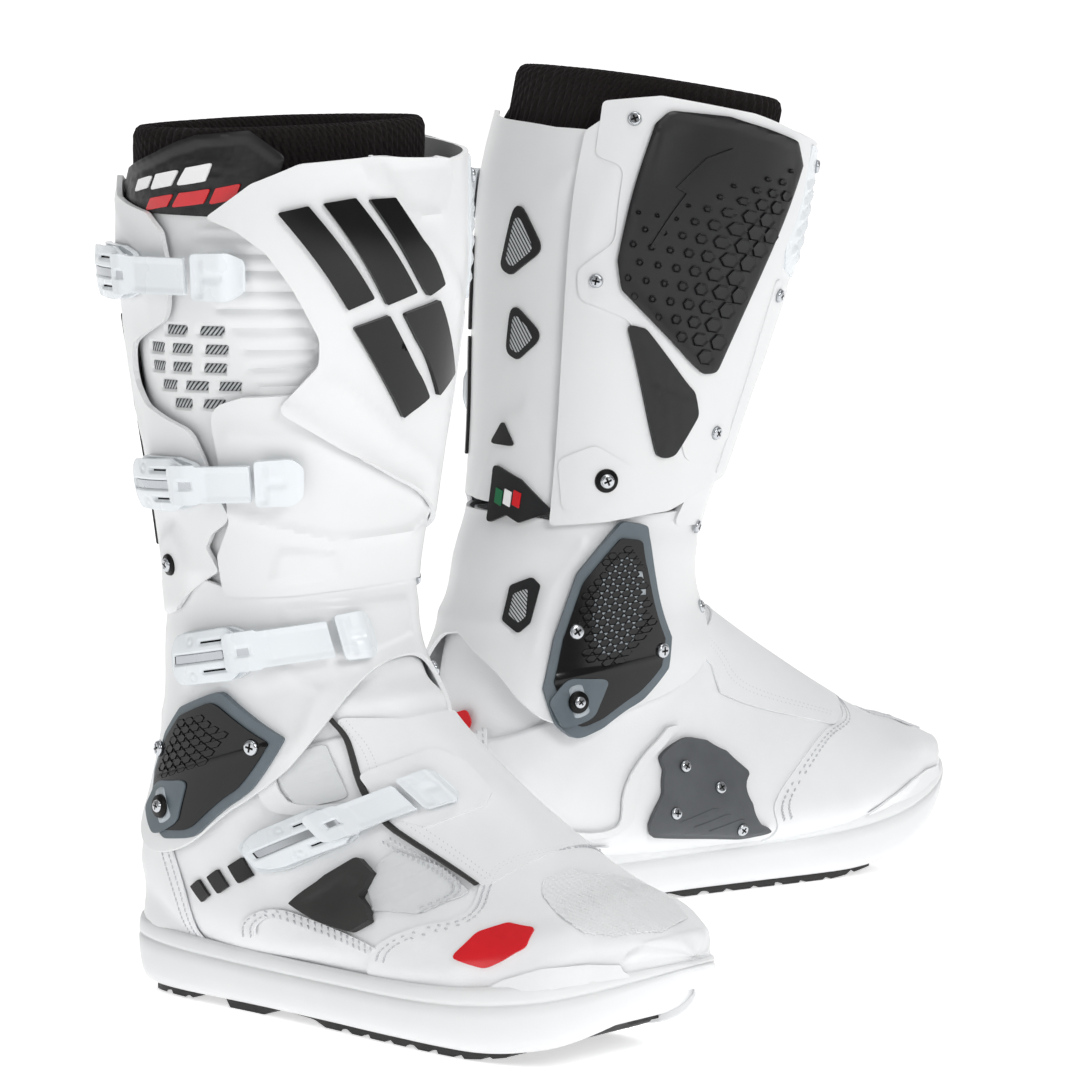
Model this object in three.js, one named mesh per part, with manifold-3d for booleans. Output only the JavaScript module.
// A pair of motocross riding boots, standing side by side with the toes turned apart.
// Millimetres, +Z up, the soles on z = 0. One boot is drawn in its own frame, with the
// heel at x = 0, the toe towards +X and the outer side of the leg towards +Y; the right
// boot is its mirror. Each boot is a foot and a shaft that hinge at the ankle, closed by
// four lever buckles with their straps.
import * as THREE from "three";
import { mergeVertices } from "three/addons/utils/BufferGeometryUtils.js";
import Module from "manifold-3d";

// ---- driving sizes -----------------------------------------------------------------
const SOLE_LENGTH = 322; // heel to toe of the sole
const SOLE_WIDTH = 103; // across the ball of the foot
const SHELL_HEIGHT = 395; // ground to the front of the shaft's rim
const SHAFT_WIDTH = 137; // across the rim
const SHAFT_DEPTH = 156; // front to back of the rim
const ANKLE = { x: 85, z: 122 }; // the ankle hinge, seen from the side
const SHEET = 3; // thickness of the moulded shells
const GAP = 0.9; // air between one layer and the next
const FLEX = { right: 0, left: 13 }; // how far each shaft leans forward, degrees
const STANCE = {
  right: { x: -165, y: 0, yaw: -41 },
  left: { x: -45, y: 150, yaw: 37 },
};

const kx = SOLE_LENGTH / 322; // the outline of the foot scales with the sole
const ky = SOLE_WIDTH / 103;
const kz = SHELL_HEIGHT / 395;

// ---- materials ---------------------------------------------------------------------
const WHITE = { color: 0xf1f2f4, roughness: 0.35, metalness: 0 }; // moulded plastic shells
const LEATHER = { color: 0xeceef0, roughness: 0.6, metalness: 0 }; // coated upper
const KNIT = { color: 0x17171a, roughness: 0.95, metalness: 0 }; // lining and collar
const RUBBER = { color: 0x2c2c2e, roughness: 0.7, metalness: 0 }; // outsole, grip panel
const GREY = { color: 0x55585b, roughness: 0.55, metalness: 0 }; // shift pad
const FRAME = { color: 0x5c676d, roughness: 0.45, metalness: 0 }; // ankle plates
const STRAP = { color: 0xe6e9ee, roughness: 0.3, metalness: 0 }; // nylon straps

// ---- the last: the shape that every layer follows ----------------------------------
// Rings from the rim to the toe. Each ring is a tilted oval: its rearmost point, its
// foremost point, its half width, its squareness, and how far it narrows to the front.
const RINGS = [
  [71 - SHAFT_DEPTH / 2, 392, 61 + SHAFT_DEPTH / 2, 398, SHAFT_WIDTH / 2, 2.3, 0],
  [-11, 345, 142, 350, (SHAFT_WIDTH / 2) * 0.97, 2.3, 0],
  [-4, 285, 136, 292, (SHAFT_WIDTH / 2) * 0.89, 2.2, 0],
  [6, 225, 128, 236, (SHAFT_WIDTH / 2) * 0.78, 2.2, 0],
  [10, 185, 123, 200, (SHAFT_WIDTH / 2) * 0.72, 2.2, 0],
  [9, 145, 129, 172, (SHAFT_WIDTH / 2) * 0.686, 2.2, 0.05],
  [2, 100, 150, 148, 46, 2.3, 0.12],
  [-9, 55, 175, 130, 45, 2.5, 0.22],
  [27, 26, 203, 112, 45, 2.6, 0.28],
  [111, 22, 230, 95, 47, 2.7, 0.28],
  [190, 22, 256, 80, 49, 2.7, 0.24],
  [245, 30, 277, 73, 44, 2.6, 0.18],
  [284, 42, 297, 62, 27, 2.3, 0.08],
];
const TOE = RINGS.length - 1;

// A smooth value between the rings: a Catmull-Rom curve, straight beyond either end.
function between(ring, column) {
  const i = Math.min(Math.max(Math.floor(ring), 0), TOE - 1);
  const f = ring - i;
  const a = RINGS[i][column];
  const b = RINGS[i + 1][column];
  const before = i > 0 ? RINGS[i - 1][column] : 2 * a - b;
  const after = i + 2 <= TOE ? RINGS[i + 2][column] : 2 * b - a;
  const ma = (b - before) / 2;
  const mb = (after - a) / 2;
  if (f < 0) return a + ma * f;
  if (f > 1) return b + mb * (f - 1);
  const f2 = f * f;
  const f3 = f2 * f;
  const start = (2 * f3 - 3 * f2 + 1) * a + (f3 - 2 * f2 + f) * ma;
  return start + (3 * f2 - 2 * f3) * b + (f3 - f2) * mb;
}

// A point of the last: ring 0 is the rim and ring 12 the toe; the angle runs from 0 at
// the front over 90 on the outer side to 180 at the back; depth is measured outwards.
function last(ring, angle, depth) {
  const [backX, backZ, frontX, frontZ, half, square, narrow] = [0, 1, 2, 3, 4, 5, 6].map(
    (column) => between(ring, column),
  );
  const long = Math.hypot(frontX - backX, frontZ - backZ) / 2;
  const c = Math.cos((angle * Math.PI) / 180);
  const s = Math.sin((angle * Math.PI) / 180);
  const cc = Math.sign(c) * Math.abs(c) ** (2 / square);
  const ss = Math.sign(s) * Math.abs(s) ** (2 / square);
  const reach = (long + depth) * cc;
  const x = (backX + frontX) / 2 + (((frontX - backX) / 2) * reach) / long;
  const z = (backZ + frontZ) / 2 + (((frontZ - backZ) / 2) * reach) / long;
  const y = (half + depth) * ss * (1 - narrow * cc);
  return [x * kx, y * ky, z * kz];
}

// A smooth curve through a few [place, value] pairs, such as an edge that waves.
function curve(pairs) {
  return (place) => {
    const next = pairs.findIndex(([p]) => p >= place);
    if (next === 0) return pairs[0][1];
    if (next < 0) return pairs[pairs.length - 1][1];
    const [p0, v0] = pairs[next - 1];
    const [p1, v1] = pairs[next];
    const f = (1 - Math.cos((Math.PI * (place - p0)) / (p1 - p0))) / 2;
    return v0 + (v1 - v0) * f;
  };
}

// ---- solids ------------------------------------------------------------------------
function solid(points, faces) {
  let volume = 0;
  for (const [a, b, c] of faces) {
    const [ax, ay, az] = points[a];
    const [bx, by, bz] = points[b];
    const [cx, cy, cz] = points[c];
    volume += ax * (by * cz - bz * cy) - ay * (bx * cz - bz * cx) + az * (bx * cy - by * cx);
  }
  const turned = volume < 0 ? faces.map(([a, b, c]) => [a, c, b]) : faces;
  const g = new THREE.BufferGeometry();
  g.setAttribute("position", new THREE.Float32BufferAttribute(points.flat(), 3));
  g.setIndex(turned.flat());
  return g;
}

function quad(faces, a, b, c, d) {
  faces.push([a, b, c]);
  faces.push([a, c, d]);
}

// A curved panel of the shell: a sheet between two depths, closed at its four edges.
// top and bottom give the ring for a place across; left and right the angle for a place
// down, both places from 0 to 1.
function panel({ top, bottom, left, right, inner, outer, across, down }) {
  const points = [];
  const faces = [];
  const at = (side, i, j) => side * (across + 1) * (down + 1) + j * (across + 1) + i;
  for (const depth of [outer, inner]) {
    for (let j = 0; j <= down; j++) {
      for (let i = 0; i <= across; i++) {
        const u = i / across;
        const v = j / down;
        const ring = top(u) + (bottom(u) - top(u)) * v;
        const angle = left(v) + (right(v) - left(v)) * u;
        points.push(last(ring, angle, depth));
      }
    }
  }
  for (let j = 0; j < down; j++) {
    for (let i = 0; i < across; i++) {
      quad(faces, at(0, i, j), at(0, i, j + 1), at(0, i + 1, j + 1), at(0, i + 1, j));
      quad(faces, at(1, i, j), at(1, i + 1, j), at(1, i + 1, j + 1), at(1, i, j + 1));
    }
  }
  for (let i = 0; i < across; i++) {
    quad(faces, at(0, i, 0), at(0, i + 1, 0), at(1, i + 1, 0), at(1, i, 0));
    quad(faces, at(0, i + 1, down), at(0, i, down), at(1, i, down), at(1, i + 1, down));
  }
  for (let j = 0; j < down; j++) {
    quad(faces, at(0, 0, j + 1), at(0, 0, j), at(1, 0, j), at(1, 0, j + 1));
    quad(faces, at(0, across, j), at(0, across, j + 1), at(1, across, j + 1), at(1, across, j));
  }
  return solid(points, faces);
}

// A sleeve that goes all the way round the leg or foot, open at both ends, or closed at
// its far end when it is given a tip.
function sleeve({ from, to, inner, outer, around, down, bend, tip, solidInside }) {
  const points = [];
  const faces = [];
  const sides = solidInside ? [outer] : [outer, inner];
  const at = (side, i, j) => side * around * (down + 1) + j * around + (i % around);
  for (const depth of sides) {
    for (let j = 0; j <= down; j++) {
      for (let i = 0; i < around; i++) {
        const ring = from + ((to - from) * j) / down;
        const p = last(ring, (360 * i) / around, depth);
        points.push(bend ? bend(p, ring) : p);
      }
    }
  }
  sides.forEach((_, side) => {
    for (let j = 0; j < down; j++) {
      for (let i = 0; i < around; i++) {
        const a = at(side, i, j);
        const b = at(side, i, j + 1);
        const c = at(side, i + 1, j + 1);
        const d = at(side, i + 1, j);
        if (side === 0) quad(faces, a, b, c, d);
        else quad(faces, a, d, c, b);
      }
    }
  });
  const fan = (side, j, centre) => {
    points.push(centre);
    for (let i = 0; i < around; i++) {
      const a = at(side, i, j);
      const b = at(side, i + 1, j);
      const front = (j > 0) === (side === 0);
      faces.push(front ? [a, points.length - 1, b] : [b, points.length - 1, a]);
    }
  };
  if (tip) sides.forEach((_, side) => fan(side, down, tip[side]));
  if (solidInside) {
    const rim = [0, 180].map((angle) => last(from, angle, outer));
    fan(0, 0, rim[0].map((v, k) => (v + rim[1][k]) / 2));
    return solid(points, faces);
  }
  for (let i = 0; i < around; i++) {
    quad(faces, at(0, i, 0), at(0, i + 1, 0), at(1, i + 1, 0), at(1, i, 0));
    if (!tip) quad(faces, at(0, i + 1, down), at(0, i, down), at(1, i, down), at(1, i + 1, down));
  }
  return solid(points, faces);
}

// A band that runs round the leg at one ring: straight edges, constant width.
function band({ ring, from, to, half, inner, outer, steps }) {
  const rows = [];
  for (let i = 0; i <= steps; i++) {
    const angle = from + ((to - from) * i) / steps;
    const up = new THREE.Vector3(...last(ring - 0.1, angle, inner));
    const down = new THREE.Vector3(...last(ring + 0.1, angle, inner));
    const across = up.sub(down).normalize();
    const row = [];
    for (const [depth, side] of [[outer, 1], [inner, 1], [inner, -1], [outer, -1]]) {
      const p = new THREE.Vector3(...last(ring, angle, depth)).addScaledVector(across, side * half);
      row.push(p.toArray());
    }
    rows.push(row);
  }
  return loft(rows);
}

// A solid through a row of closed sections, capped at both ends.
function loft(rows) {
  const n = rows[0].length;
  const points = rows.flat();
  const faces = [];
  for (let j = 0; j + 1 < rows.length; j++) {
    for (let i = 0; i < n; i++) {
      const k = (i + 1) % n;
      quad(faces, j * n + i, (j + 1) * n + i, (j + 1) * n + k, j * n + k);
    }
  }
  const end = (rows.length - 1) * n;
  for (let i = 1; i + 1 < n; i++) {
    faces.push([0, i, i + 1]);
    faces.push([end, end + i + 1, end + i]);
  }
  return solid(points, faces);
}

const wasm = await Module();
wasm.setup();

function toManifold(geometry) {
  const g = geometry.clone();
  g.deleteAttribute("normal");
  g.deleteAttribute("uv");
  const merged = mergeVertices(g, 1e-3);
  const triVerts = new Uint32Array(merged.index.array);
  const vertProperties = new Float32Array(merged.attributes.position.array);
  return new wasm.Manifold(new wasm.Mesh({ numProp: 3, vertProperties, triVerts }));
}

function fromManifold(body) {
  const mesh = body.getMesh();
  const g = new THREE.BufferGeometry();
  g.setAttribute("position", new THREE.BufferAttribute(mesh.vertProperties, 3));
  g.setIndex(new THREE.BufferAttribute(mesh.triVerts, 1));
  return g;
}

// ---- the sole ----------------------------------------------------------------------
// Half widths of the sole at places along it: towards the outer side and the inner side.
const FOOTPRINT = [
  [-10, 20, 20],
  [-6, 29, 29],
  [2, 37, 36],
  [28, 43, 41],
  [70, 44, 39],
  [120, 48, 38],
  [170, 54, 42],
  [215, 57, 46],
  [252, 52, 46],
  [282, 39, 38],
  [300, 23, 26],
  [312, 6, 10],
];
const spring = (x) => (x > 215 ? 26 * ((x - 215) / 97) ** 2 : 0); // the toe turns up
const arch = (x) => (x > 62 && x < 94 ? 7 : 0); // the waist is lifted off the ground
const wall = curve([[-10, 37], [35, 33], [140, 31], [215, 34], [252, 39], [312, 51]]);
const SOLE_BASE = 9; // thickness of the rubber under the cup

function soleCup() {
  const rows = FOOTPRINT.map(([x, out, inn]) => {
    const low = SOLE_BASE + GAP + spring(x);
    const high = wall(x);
    const mid = low + (high - low) * 0.45;
    return [
      [out - 2, high],
      [out, mid],
      [out - 4, low],
      [4 - inn, low],
      [-inn, mid],
      [2 - inn, high],
    ].map(([y, z]) => [x * kx, y * ky, z * kz]);
  });
  const foot = sleeve({
    from: 6.25,
    to: TOE,
    outer: GAP,
    around: 20,
    down: 9,
    tip: [[302 * kx, 0, 52 * kz]],
    solidInside: true,
  });
  return fromManifold(toManifold(loft(rows)).subtract(toManifold(foot)));
}

function outsole() {
  const places = [-4, 10, 34, 61, 62.5, 93.5, 95, 120, 170, 215, 252, 280, 290];
  const width = (k) => curve(FOOTPRINT.map((row) => [row[0], row[k]]));
  const rows = places.map((x) => {
    const low = spring(x) + arch(x);
    const high = SOLE_BASE + spring(x);
    const out = width(1)(x) - 5;
    const inn = width(2)(x) - 5;
    return [[out, high], [out, low], [-inn, low], [-inn, high]].map(([y, z]) => [
      x * kx,
      y * ky,
      z * kz,
    ]);
  });
  return loft(rows);
}

// ---- one boot ----------------------------------------------------------------------
const ON_LAST = GAP; // first layer over the last
const ON_SHELL = ON_LAST + SHEET + GAP; // second layer, over the first
const ON_PLATE = ON_SHELL + SHEET + GAP; // third layer
const flat = (value) => () => value;

// The four buckles: the ring they sit on, the angles of the lever, of the strap and of
// the strap's anchor, the depths their base and anchor start from, and what carries them.
const BUCKLES = [
  { ring: 1.08, lever: [142, 108], strap: [106, 86], anchor: [84, 67], base: ON_SHELL, foot: GAP },
  { ring: 2.68, lever: [124, 91], strap: [89, 66], anchor: [64, 46], base: ON_SHELL, foot: ON_PLATE },
  { ring: 4.72, lever: [110, 72], strap: [70, 36], anchor: [33, 14], base: ON_SHELL, foot: ON_SHELL + 0.4 },
  { ring: 7.5, lever: [91, 72], strap: [70.5, 49], anchor: [47, 29], base: GAP, foot: GAP },
];
const BASE = 3; // thickness of a buckle's base
const LEVER = 4; // thickness of a lever
const WEBBING = 2.8; // thickness of a strap
const LEVER_HALF = 10; // half width of a lever
const STRAP_HALF = 8.5; // half width of a strap
const ANCHOR_HALF = 11; // half width of an anchor

// The soft leather at the ankle follows the shaft as it turns about the ankle hinge.
function lean(degrees, share) {
  const a = (degrees * Math.PI) / 180;
  return ([x, y, z], ring) => {
    const turn = a * share(ring);
    const dx = x - ANKLE.x * kx;
    const dz = z - ANKLE.z * kz;
    const nx = dx * Math.cos(turn) + dz * Math.sin(turn);
    const nz = dz * Math.cos(turn) - dx * Math.sin(turn);
    return [ANKLE.x * kx + nx, y, ANKLE.z * kz + nz];
  };
}

function boot(side) {
  const shaft = new THREE.Group();
  const foot = new THREE.Group();
  const add = (parent, name, look, geometry) => {
    const mesh = new THREE.Mesh(geometry, new THREE.MeshStandardMaterial(look));
    mesh.name = side + "_" + name;
    parent.add(mesh);
  };

  // foot
  add(foot, "outsole", RUBBER, outsole());
  add(foot, "sole_cup", WHITE, soleCup());
  add(foot, "foot_upper", LEATHER, sleeve({
    from: 6.25,
    to: TOE,
    inner: -SHEET,
    outer: 0,
    around: 20,
    down: 9,
    tip: [[301 * kx, 0, 52 * kz], [296 * kx, 0, 51 * kz]],
  }));
  add(foot, "heel_cup", WHITE, panel({
    top: curve([[0, 6.75], [0.5, 6.35], [1, 6.75]]),
    bottom: flat(7.3),
    left: flat(113),
    right: flat(247),
    inner: ON_LAST + 0.6,
    outer: ON_LAST + SHEET + 0.2,
    across: 12,
    down: 3,
  }));
  add(foot, "shift_pad", GREY, panel({
    top: flat(7.5),
    bottom: flat(9.2),
    left: curve([[0, -84], [1, -90]]),
    right: curve([[0, -101], [1, -112]]),
    inner: GAP,
    outer: GAP + SHEET,
    across: 3,
    down: 5,
  }));
  add(foot, "ankle_gaiter", LEATHER, sleeve({
    from: 3.98,
    to: 6.18,
    inner: -SHEET - 1.2,
    outer: -1.2,
    around: 20,
    down: 7,
    bend: lean(FLEX[side], curve([[5.0, 1], [6.18, 0]])),
  }));

  // shaft
  add(shaft, "knit_collar", KNIT, sleeve({
    from: -0.25,
    to: 3.3,
    inner: -SHEET - 6.4,
    outer: -SHEET - 2.4,
    around: 20,
    down: 5,
  }));
  add(shaft, "side_panel", WHITE, panel({
    top: flat(0.4),
    bottom: flat(3.9),
    left: flat(38),
    right: flat(136),
    inner: -SHEET - 1.4,
    outer: -1.4,
    across: 8,
    down: 8,
  }));
  add(shaft, "calf_shell", WHITE, panel({
    top: curve([[0, 0.5], [0.2, 0.3], [1, 0.3]]),
    bottom: flat(3.88),
    left: curve([[0, 120], [0.1, 101], [0.28, 94], [0.45, 124], [0.58, 92], [0.8, 82], [1, 100]]),
    right: flat(262),
    inner: ON_LAST,
    outer: ON_LAST + SHEET,
    across: 12,
    down: 14,
  }));
  add(shaft, "shin_plate", WHITE, panel({
    top: curve([[0, 0.55], [0.25, 0], [0.6, 0.05], [1, 0.35]]),
    bottom: curve([[0, 3.8], [1, 3.8]]),
    left: curve([[0, 74], [0.08, 58], [0.2, 50], [0.42, 46], [0.58, 68], [1, 68]]),
    right: curve([[0, -142], [0.75, -140], [1, -122]]),
    inner: ON_SHELL,
    outer: ON_SHELL + SHEET,
    across: 14,
    down: 12,
  }));
  add(shaft, "grip_panel", RUBBER, panel({
    top: flat(0.35),
    bottom: curve([[0, 2.45], [1, 1.85]]),
    left: curve([[0, -80], [0.15, -72], [1, -83]]),
    right: curve([[0, -127], [1, -131]]),
    inner: ON_PLATE,
    outer: ON_PLATE + 2.5,
    across: 6,
    down: 6,
  }));
  add(shaft, "ankle_cuff", WHITE, panel({
    top: flat(3.96),
    bottom: curve([[0, 5.1], [0.05, 5.9], [0.18, 4.95], [0.48, 4.95], [0.55, 5.95], [0.64, 4.95], [1, 4.95]]),
    left: flat(74),
    right: flat(74 + 344),
    inner: ON_LAST,
    outer: ON_LAST + SHEET,
    across: 30,
    down: 3,
  }));
  add(shaft, "outer_ankle_plate", FRAME, panel({
    top: curve([[0, 5.6], [0.35, 5.25], [1, 5.45]]),
    bottom: curve([[0, 6.4], [0.6, 6.95], [1, 6.35]]),
    left: curve([[0, 79], [0.45, 71], [1, 83]]),
    right: curve([[0, 106], [0.5, 124], [1, 116]]),
    inner: ON_SHELL + 1.5,
    outer: ON_SHELL + 5,
    across: 6,
    down: 5,
  }));
  add(shaft, "inner_ankle_plate", FRAME, panel({
    top: curve([[0, 4.3], [0.5, 4.05], [1, 4.9]]),
    bottom: curve([[0, 6.2], [0.7, 6.85], [1, 6.4]]),
    left: curve([[0, -92], [0.75, -76], [1, -84]]),
    right: curve([[0, -104], [0.8, -128], [1, -120]]),
    inner: ON_PLATE + 1,
    outer: ON_PLATE + 4.5,
    across: 5,
    down: 7,
  }));

  BUCKLES.forEach((b, index) => {
    const parent = index === 3 ? foot : shaft;
    const n = index + 1;
    const seat = b.base + BASE + GAP;
    const [back, front] = b.lever;
    add(parent, "buckle_base_" + n, WHITE, band({
      ring: b.ring,
      from: back - 3,
      to: front + 1,
      half: LEVER_HALF,
      inner: b.base,
      outer: b.base + BASE,
      steps: 4,
    }));
    add(parent, "buckle_lever_" + n, STRAP, band({
      ring: b.ring,
      from: back,
      to: front,
      half: LEVER_HALF - 2,
      inner: seat,
      outer: seat + LEVER,
      steps: 4,
    }));
    add(parent, "strap_" + n, STRAP, band({
      ring: b.ring,
      from: b.strap[0],
      to: b.strap[1],
      half: STRAP_HALF,
      inner: seat + 0.8,
      outer: seat + 0.8 + WEBBING,
      steps: 5,
    }));
    add(parent, "strap_anchor_" + n, STRAP, band({
      ring: b.ring,
      from: b.anchor[0],
      to: b.anchor[1],
      half: ANCHOR_HALF,
      inner: b.foot,
      outer: Math.max(seat + 0.8 + WEBBING, b.foot + 3),
      steps: 3,
    }));
  });

  // the shaft's own lean, then the boot's place on the ground
  const hinge = new THREE.Group();
  hinge.position.set(ANKLE.x * kx, 0, ANKLE.z * kz);
  hinge.rotation.y = (FLEX[side] * Math.PI) / 180;
  shaft.position.set(-ANKLE.x * kx, 0, -ANKLE.z * kz);
  hinge.add(shaft);
  const whole = new THREE.Group();
  whole.add(foot);
  whole.add(hinge);
  const mirror = side === "right" ? -1 : 1;
  whole.scale.set(1, mirror, 1);
  const placed = new THREE.Group();
  placed.rotation.z = (STANCE[side].yaw * Math.PI) / 180;
  placed.position.set(STANCE[side].x * kx, STANCE[side].y * ky, 0);
  placed.name = side + "_boot";
  placed.add(whole);
  return placed;
}

// ---- the pair ----------------------------------------------------------------------
const pair = new THREE.Group();
pair.add(boot("right"));
pair.add(boot("left"));
pair.updateMatrixWorld(true);
const bounds = new THREE.Box3().setFromObject(pair, true);
const centre = bounds.getCenter(new THREE.Vector3());
for (const placed of pair.children) {
  placed.position.x -= centre.x;
  placed.position.y -= centre.y;
}

export default pair;
